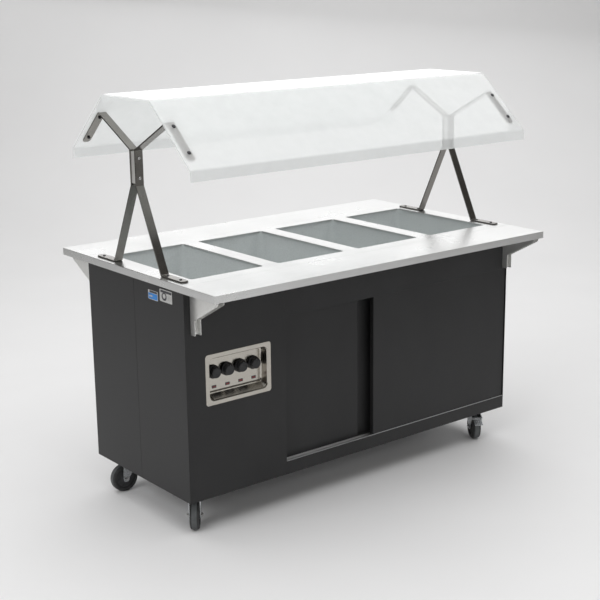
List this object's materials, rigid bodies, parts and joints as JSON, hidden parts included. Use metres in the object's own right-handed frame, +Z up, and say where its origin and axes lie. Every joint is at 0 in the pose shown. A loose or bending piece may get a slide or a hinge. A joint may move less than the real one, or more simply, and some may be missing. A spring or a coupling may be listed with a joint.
{
  "type": "steam table unit",
  "caption": "Mobile hot food serving counter with heated wells, clear folded food guard, fixed work shelves along both sides, sliding cabinet doors, recessed dial controls and swivel casters.",
  "frame": {"origin": "on the floor, under the middle of the counter", "axes": "+X along the counter to the right as seen from the control side, +Y to the back, +Z up"},
  "size_m": [1.53, 0.9682, 1.462],
  "materials": {
    "black_panel": "satin black powder coat",
    "stainless_top": "fine brushed along the counter",
    "stainless_well": "drawn, soft satin",
    "stainless_bezel": "brushed",
    "stainless_bracket": "satin",
    "galvanised": "dull galvanised",
    "track_aluminium": "mill finish",
    "element_sheath": "heat-darkened sheath",
    "thermostat_case": "plain plated steel case",
    "knob_plastic": "gloss black",
    "lamp_red": "dark red lens in a black surround",
    "terminal_plastic": "matt",
    "nylon": "natural nylon",
    "plate_foil": "plain blank foil",
    "support_steel": "dark satin",
    "fastener": "bright plated",
    "dark_fastener": "black oxide",
    "guard_acrylic": "clear polished sheet",
    "zinc_plate": "bright zinc plate",
    "wheel_rubber": "satin dark grey"
  },
  "bodies": {
    "cabinet": {"base_pan": "black_panel", "door_sill": "black_panel", "left_end_panel": "black_panel", "right_end_panel": "black_panel", "front_panel": "black_panel", "front_header": "black_panel", "back_panel": "black_panel", "partition": "galvanised", "door_tracks": "track_aluminium", "caster_rails": "galvanised", "counter_top": "stainless_top", "front_shelf": "stainless_top", "back_shelf": "stainless_top", "shelf_brackets": "stainless_bracket", "bracket_screws": "fastener", "well_1": "stainless_well", "well_2": "stainless_well", "well_3": "stainless_well", "well_4": "stainless_well", "heating_elements": "element_sheath", "heater_tray": "galvanised", "control_bezel": "stainless_bezel", "thermostats": "thermostat_case", "indicator_lamps": "lamp_red", "terminal_block": "terminal_plastic", "power_gland": "terminal_plastic", "rating_plates": "plate_foil", "left_front_support": "support_steel", "left_back_support": "support_steel", "right_front_support": "support_steel", "right_back_support": "support_steel", "support_spacers": "stainless_bracket", "support_bolts": "fastener", "foot_screws": "dark_fastener", "guard_screws": "dark_fastener", "guard_sheet": "guard_acrylic", "caster_plates": "zinc_plate", "caster_bolts": "fastener"},
    "left_door": {"left_door": "black_panel", "left_door_glides": "nylon"},
    "right_door": {"right_door": "black_panel", "right_door_glides": "nylon"},
    "knob_1": {"knob_1": "knob_plastic"},
    "knob_2": {"knob_2": "knob_plastic"},
    "knob_3": {"knob_3": "knob_plastic"},
    "knob_4": {"knob_4": "knob_plastic"},
    "front_left_fork": {"front_left_fork": "zinc_plate", "front_left_axle": "fastener"},
    "front_left_wheel": {"front_left_wheel": "wheel_rubber"},
    "back_left_fork": {"back_left_fork": "zinc_plate", "back_left_axle": "fastener"},
    "back_left_wheel": {"back_left_wheel": "wheel_rubber"},
    "front_right_fork": {"front_right_fork": "zinc_plate", "front_right_axle": "fastener"},
    "front_right_wheel": {"front_right_wheel": "wheel_rubber"},
    "back_right_fork": {"back_right_fork": "zinc_plate", "back_right_axle": "fastener"},
    "back_right_wheel": {"back_right_wheel": "wheel_rubber"},
    "front_right_brake_pedal": {"front_right_brake_pedal": "zinc_plate"},
    "back_right_brake_pedal": {"back_right_brake_pedal": "zinc_plate"}
  },
  "joints": [
    {"name": "left_door_slide", "type": "slide", "parent": "cabinet", "child": "left_door", "axis": [1, 0, 0], "range_m": [0, 0.409]},
    {"name": "right_door_slide", "type": "slide", "parent": "cabinet", "child": "right_door", "axis": [-1, 0, 0], "range_m": [0, 0.409]},
    {"name": "knob_1_turn", "type": "hinge", "parent": "cabinet", "child": "knob_1", "pos_m": [-0.637, -0.2768, 0.562], "axis": [0, 1, 0], "range_deg": [0, 300]},
    {"name": "knob_2_turn", "type": "hinge", "parent": "cabinet", "child": "knob_2", "pos_m": [-0.582, -0.2768, 0.562], "axis": [0, 1, 0], "range_deg": [0, 300]},
    {"name": "knob_3_turn", "type": "hinge", "parent": "cabinet", "child": "knob_3", "pos_m": [-0.527, -0.2768, 0.562], "axis": [0, 1, 0], "range_deg": [0, 300]},
    {"name": "knob_4_turn", "type": "hinge", "parent": "cabinet", "child": "knob_4", "pos_m": [-0.472, -0.2768, 0.562], "axis": [0, 1, 0], "range_deg": [0, 300]},
    {"name": "front_left_swivel", "type": "hinge", "parent": "cabinet", "child": "front_left_fork", "pos_m": [-0.682, -0.213, 0.116], "axis": [0, 0, 1], "continuous": true},
    {"name": "front_left_roll", "type": "hinge", "parent": "front_left_fork", "child": "front_left_wheel", "pos_m": [-0.70068, -0.23648, 0.051], "axis": [0.7826, -0.6225, 0], "continuous": true},
    {"name": "back_left_swivel", "type": "hinge", "parent": "cabinet", "child": "back_left_fork", "pos_m": [-0.682, 0.213, 0.116], "axis": [0, 0, 1], "continuous": true},
    {"name": "back_left_roll", "type": "hinge", "parent": "back_left_fork", "child": "back_left_wheel", "pos_m": [-0.71198, 0.21405, 0.051], "axis": [-0.0349, -0.9994, 0], "continuous": true},
    {"name": "front_right_swivel", "type": "hinge", "parent": "cabinet", "child": "front_right_fork", "pos_m": [0.682, -0.213, 0.116], "axis": [0, 0, 1], "continuous": true},
    {"name": "front_right_roll", "type": "hinge", "parent": "front_right_fork", "child": "front_right_wheel", "pos_m": [0.667, -0.23898, 0.051], "axis": [0.866, -0.5, 0], "continuous": true},
    {"name": "front_right_brake", "type": "hinge", "parent": "front_right_fork", "child": "front_right_brake_pedal", "pos_m": [0.648, -0.27189, 0.094], "axis": [0.866, -0.5, 0], "range_deg": [0, 14]},
    {"name": "back_right_swivel", "type": "hinge", "parent": "cabinet", "child": "back_right_fork", "pos_m": [0.682, 0.213, 0.116], "axis": [0, 0, 1], "continuous": true},
    {"name": "back_right_roll", "type": "hinge", "parent": "back_right_fork", "child": "back_right_wheel", "pos_m": [0.65481, 0.20032, 0.051], "axis": [0.4226, -0.9063, 0], "continuous": true},
    {"name": "back_right_brake", "type": "hinge", "parent": "back_right_fork", "child": "back_right_brake_pedal", "pos_m": [0.62037, 0.18426, 0.094], "axis": [0.4226, -0.9063, 0], "range_deg": [0, 14]}
  ]
}
